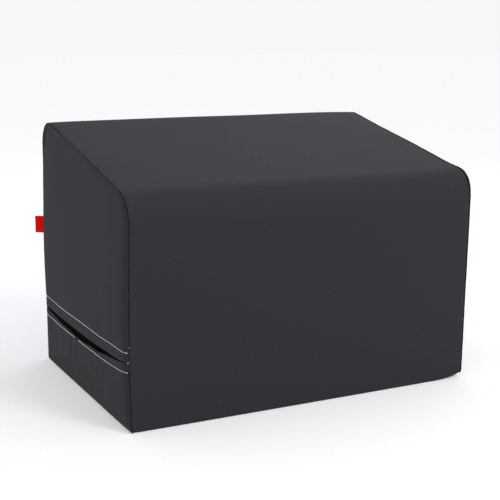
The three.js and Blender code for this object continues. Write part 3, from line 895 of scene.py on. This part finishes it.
# Places along a stitch, and how high its thread lies there.
STITCH_SHAPE = [(0.0, -0.7), (0.08, 0.12), (0.3, 0.34), (0.5, 0.38), (0.7, 0.34), (0.92, 0.12), (1.0, -0.7)]
COIL_INSET = 5.35


def seam_shade_tube(end, name):
    """A near-black tube laid in the seam round an end. It is painted shade: it stands in for the shadow inside the
    seam groove, so that the seam shows as a thin dark line. It leaves the zip free.
    """
    groove_shade = Threads(7)
    upper, lower = (AROUND - float(end_lip(np.array(HALF_Y), above)) for above in (True, False))
    for start, finish in ((1.4, upper - 1), (lower + 1, AROUND - 1.4)):
        s = np.linspace(start, finish, max(6, int((finish - start) / 5)))
        flat, out = seam_line(s, end)
        flat = flat - 0.75 * out
        x = end * (HALF_X - 0.95 + bow(end, flat[:, 1]) * (flat[:, 0] < 0) * (1 - smooth((s - ENDS[1]) / 90)))
        path = np.stack([x, flat[:, 0], flat[:, 1]], 1)
        path[:, 2] = lifted(*path.T)
        groove_shade.tube(path, SHADE_TUBE_RADIUS)
    # The tube takes the near-black tape finish, which here paints the shadow of the seam groove.
    return groove_shade.made(name, "zip_tape", TAPE_AND_PAINTED_SHADE, [])


for end, word in SIDES:
    seam_shade_tube(end, "seam_shadow_line_" + word)


def stitch_row(threads, find, line, outwards, start, finish, missing=()):
    """Lays single stitches along a row. line gives the place on the row for a position along it."""
    at = start
    while at + STITCH <= finish:
        if not any(low < at + STITCH / 2 < high for low, high in missing):
            found = [(*find(line(at + STITCH * step), outwards), sink) for step, sink in STITCH_SHAPE]
            if all(hit is not None for hit, _, _ in found):
                threads.tube([hit + sink * facing for hit, facing, sink in found], THREAD_RADIUS)
        at += STITCH + STITCH_GAP


for end, word in SIDES:
    find = surface_of(heads[end], skirts[end])
    outwards = (float(end), 0, 0)
    for knots, where in ((UPPER_ROW, "upper"), (LOWER_ROW, "lower")):
        threads = Threads()
        row = lambda y, knots=knots, end=end: (end * HALF_X, y, float(through(knots, np.array(y))))
        slipped = [(16, 33)] if (end, where) == (-1, "lower") else []
        stitch_row(threads, find, row, outwards, -HALF_Y + 1.2, HALF_Y - 1.2, slipped)
        threads.made(f"stitches_{word}_{where}", "thread", THREAD, [f"topstitch_{word}_{where}"])

find = surface_of(strip, back_skirt)
for side, where in ((1, "upper"), (-1, "lower")):
    threads = Threads()
    row = lambda x, side=side: (x, HALF_Y, ZIP_Z + side * BACK_STITCH_REACH)
    stitch_row(threads, find, row, (0, 1.0, 0), -HALF_X + 3, HALF_X - 3)
    threads.made(f"stitches_back_{where}", "thread", THREAD, [f"topstitch_back_{where}"])


def bar_tack(end, name, stands_for):
    """A short bar of close crosswise stitches where the two lips end at the front seam."""
    threads = Threads()
    middle = end_lip(np.array(-HALF_Y), True) - 0.6
    x, y = end * (HALF_X - 0.6 + float(bow(end, np.array(middle)))), -HALF_Y - 0.1
    for i in range(4):
        z = middle - 0.9 + 0.6 * i
        wiggle = 0.2 * math.sin(2.1 * i)
        path = [(x - end * 1.5, y + 1.4, z), (x - end * 0.9, y + 0.3 + wiggle, z + 0.1), (x, y - 0.1, z),
                (x + end * 0.9, y + 0.3 - wiggle, z - 0.1), (x + end * 1.4, y + 1.4, z)]
        threads.tube(path, 0.17)
    if end < 0:
        tail = [(0, 1.4, 20.5), (0.6, 0.4, 21.6), (0.2, 0.3, 22.8), (0.7, 1.0, 23.8)]
        threads.tube([(x + a, y + b, middle + c) for a, b, c in tail], 0.19)
    return threads.made(name, "thread", THREAD, [stands_for])


for end, word in SIDES:
    bar_tack(end, "tack_" + word, "bar_tack_" + word)


def zip_path(bend, step=2.4):
    """The line of the closed zip round the two ends and the back: (x, y) and the way out of the block."""
    reach_x, reach_y = HALF_X - COIL_INSET, HALF_Y - COIL_INSET
    straight = reach_y - bend - cad_span("zip_coil_lower")[0][1]
    arc, across = bend * math.pi / 2, 2 * (reach_x - bend)
    total = 2 * straight + 2 * arc + across
    for d in np.arange(0, total, step):
        turned = sum(np.clip((d - start) / bend, 0, math.pi / 2) for start in (straight, straight + arc + across))
        out_x, out_y = -math.cos(turned), math.sin(turned)
        x = bend - reach_x + np.clip(d - straight - arc, 0, across)
        y = reach_y - bend - max(straight - d, 0) - max(d - (total - straight), 0)
        yield (x + bend * out_x, y + bend * out_y), (out_x, out_y)


def zip_lining():
    """The lining of the groove in the foam that the zip runs in. Its near-black tape finish also paints the shade
    inside the slit.
    """
    section = [(1.2, 80.4), (1.6, 81.7), (5.0, 81.75), (8.4, 81.8), (9.0, 82.6), (9.05, 92), (9.05, 111), (9.0, 120.2),
               (8.4, 121.0), (5.0, 121.1), (1.6, 121.1)]
    rows = []
    for (x, y), (out_x, out_y) in zip_path(9.0, 4.0):
        rows.append([(x + (COIL_INSET - inset) * out_x, y + (COIL_INSET - inset) * out_y, z) for inset, z in section])
    first, last = ([(x, y - 3.6, z) for x, y, z in row] for row in (rows[0], rows[-1]))
    return sheet("zip_lining", np.array([first, *rows, last]), "zip_tape", TAPE_AND_PAINTED_SHADE, flip=True)


zip_lining()


def corner_tape(end, name):
    """The cloth of the zip where it turns a back corner, just behind the lips. Its far edges bend in to the coil."""
    inset, bend, reach = 2.8, 3.0, 12.5
    low, high = (float(end_lip(np.array(HALF_Y), upper)) for upper in (False, True))
    heights = np.linspace(min(low, ZIP_Z - 4.5) - 1.5, max(high, ZIP_Z + 4.5) + 1.5, 5)
    angles = np.linspace(0, math.pi / 2, 7)
    turn = [(inset + bend * (1 - math.cos(a)), inset + bend * (1 - math.sin(a))) for a in angles]
    far = [(inset + 1.7, reach + 2), (inset, reach)]
    path = [*far, *turn, *((b, a) for a, b in far[::-1])]
    rows = np.array([[(end * (HALF_X - a), HALF_Y - b, z) for z in heights] for a, b in path])
    return sheet(name, rows, "zip_tape", TAPE_AND_PAINTED_SHADE, flip=end < 0)


for end, word in SIDES:
    corner_tape(end, "corner_tape_" + word)


def coil(side, name):
    """One side of the nylon coil: a loop per tooth, each with its head towards the other side."""
    threads = Threads(5)
    near, far = 0.9, 3.3
    for (x, y), (out_x, out_y) in zip_path(COIL_INSET):
        loop = []
        for a in np.linspace(0, 2 * math.pi, 9):
            reach = 0.5 - 0.5 * math.cos(a)
            swing, shift = 0.72 * math.sin(a), 0.75 * reach * math.sin(a)
            height = near + (far - near) * reach
            loop.append((x + out_x * swing + out_y * shift, y + out_y * swing - out_x * shift, ZIP_Z + side * height))
        threads.tube(loop, 0.3)
    return threads.made(name, "zip_coil", COIL, ["zip_" + name])


coil(1, "coil_upper")
coil(-1, "coil_lower")


def label():
    """A woven tag, folded in two round its outer edge and sewn into the back left seam. It carries nothing."""
    low, high = cad_span("label_tag")
    outward = np.array([-1.0, 1.0, 0]) / math.sqrt(2)
    beside = np.array([1.0, 1.0, 0]) / math.sqrt(2)
    tip = np.array([low[0] + 0.3, high[1] - 0.3, 0]) + 2.4 * outward
    bottom, top = low[2] + 1.6, high[2] + 2.0
    half = 0.45
    front = [(-19.0, half), (-14.0, half), (-11.0, half * 1.15), (-8.0, half * 1.35), (-5.0, half * 1.45),
             (-2.5, half * 1.3), (-0.9, half)]
    front += [(-half + half * math.cos(a), half * math.sin(a)) for a in np.linspace(math.pi / 2 * 0.8, 0, 4)]
    rows = []
    for t in np.linspace(0, 1, 15):
        row = []
        for a, b in front + [(a, -b) for a, b in reversed(front[:-1])]:
            out = np.clip((a + 16) / 16, 0, 1)
            sway = (0.5 * math.sin(2.6 * t + 0.4) - 0.3) * out * out
            height = bottom + (top - bottom) * t - 0.5 * out * out
            row.append(tip + a * outward + (b + sway) * beside + np.array([0, 0, height]))
        rows.append(row)
    return sheet("label_loop", np.array(rows), "label", LABEL_CLOTH, wall=0.34, cad=["label_tag"])


label()


# ---------------------------------------------------------------- carried-over parts

FINISHES = {
    "core_plank": PLANK_FOAM,
    "core_top": PAD_FOAM,
    "zip_tape": TAPE_AND_PAINTED_SHADE,
    "zip_coil": COIL,
    "zip_slider": ZIP_METAL,
    "zip_stop": ZIP_METAL,
    "topstitch": THREAD,
    "bar_tack": THREAD,
    "label": LABEL_CLOTH,
}
for name, made in frame["nodes"].items():
    for start, material in FINISHES.items():
        if name.startswith(start):
            made.data.materials.clear()
            made.data.materials.append(material)
            if material is ZIP_METAL:
                soft = made.modifiers.new("rounded", "BEVEL")
                soft.width = 0.22 * MM
                soft.segments = 2
                soft.limit_method = "ANGLE"


# ---------------------------------------------------------------- studio

def seen_directly(tree):
    """1 for rays from the camera and for those that a shiny or clear surface sends on."""
    rays = node(tree, "ShaderNodeLightPath").outputs
    seen = maths(tree, "MAXIMUM", rays["Is Camera Ray"], rays["Is Glossy Ray"])
    return maths(tree, "MAXIMUM", seen, rays["Is Transmission Ray"])


def floor():
    mesh = bpy.data.meshes.new("studio_floor")
    reach = 14.0
    corners = [(-reach, -reach, 0), (reach, -reach, 0), (reach, reach, 0), (-reach, reach, 0)]
    mesh.from_pydata(corners, [], [(0, 1, 2, 3)])
    made = placed("studio_floor", mesh)
    material, tree, shader = finish_of("floor_white", (0.74, 0.745, 0.75), 0.9, specular=0.0)
    glow = maths(tree, "MULTIPLY", seen_directly(tree), 0.27)
    plain = node(tree, "ShaderNodeEmission", Color=(0.98, 0.99, 1.0, 1), Strength=glow)
    both = node(tree, "ShaderNodeAddShader")
    tree.links.new(shader.outputs[0], both.inputs[0])
    tree.links.new(plain.outputs[0], both.inputs[1])
    tree.links.new(both.outputs[0], tree.nodes["Material Output"].inputs["Surface"])
    mesh.materials.append(material)


def lamp(name, at, aim, size, power, color):
    data = bpy.data.lights.new(name, "AREA")
    data.shape = "RECTANGLE"
    data.size, data.size_y = size
    data.energy = power
    data.color = color
    made = placed(name, data)
    made.location = at
    made.rotation_mode = "QUATERNION"
    made.rotation_quaternion = (Vector(aim) - Vector(at)).to_track_quat("-Z", "Y")


def world():
    made = bpy.data.worlds.new("studio")
    bpy.context.scene.world = made
    made.use_nodes = True
    tree = made.node_tree
    tree.nodes.clear()
    light = node(tree, "ShaderNodeBackground", Color=(0.97, 0.985, 1.0, 1), Strength=0.92)
    backdrop = node(tree, "ShaderNodeBackground", Color=(0.925, 0.93, 0.935, 1), Strength=1.0)
    mix = node(tree, "ShaderNodeMixShader", Fac=seen_directly(tree))
    tree.links.new(light.outputs[0], mix.inputs[1])
    tree.links.new(backdrop.outputs[0], mix.inputs[2])
    node(tree, "ShaderNodeOutputWorld", Surface=mix.outputs[0])


def camera():
    data = bpy.data.cameras.new("camera")
    data.sensor_width = 36
    data.lens = 78.7
    data.clip_end = 60
    yaw, pitch, tilt = math.radians(27.61), math.radians(12.07), math.radians(0.63)
    forward = Vector((math.sin(yaw) * math.cos(pitch), math.cos(yaw) * math.cos(pitch), -math.sin(pitch)))
    level = Vector((math.cos(yaw), -math.sin(yaw), 0))
    above = level.cross(forward)
    right = level * math.cos(tilt) + above * math.sin(tilt)
    up = above * math.cos(tilt) - level * math.sin(tilt)
    turn = Matrix((right, up, -forward)).transposed().to_4x4()
    made = placed("camera", data)
    made.matrix_world = Matrix.Translation((-0.849, -1.616, 0.600)) @ turn
    bpy.context.scene.camera = made


floor()
world()
lamp("front_softbox", (1.0, -2.5, 2.4), (0, 0, 0.2), (1.0, 1.0), 38, (1.0, 0.975, 0.98))
lamp("back_softbox", (1.5, 1.6, 1.6), (0.05, 0, 0.4), (1.6, 1.2), 6.5, (0.85, 0.96, 1.0))
camera()
bpy.context.scene.view_settings.view_transform = "Standard"
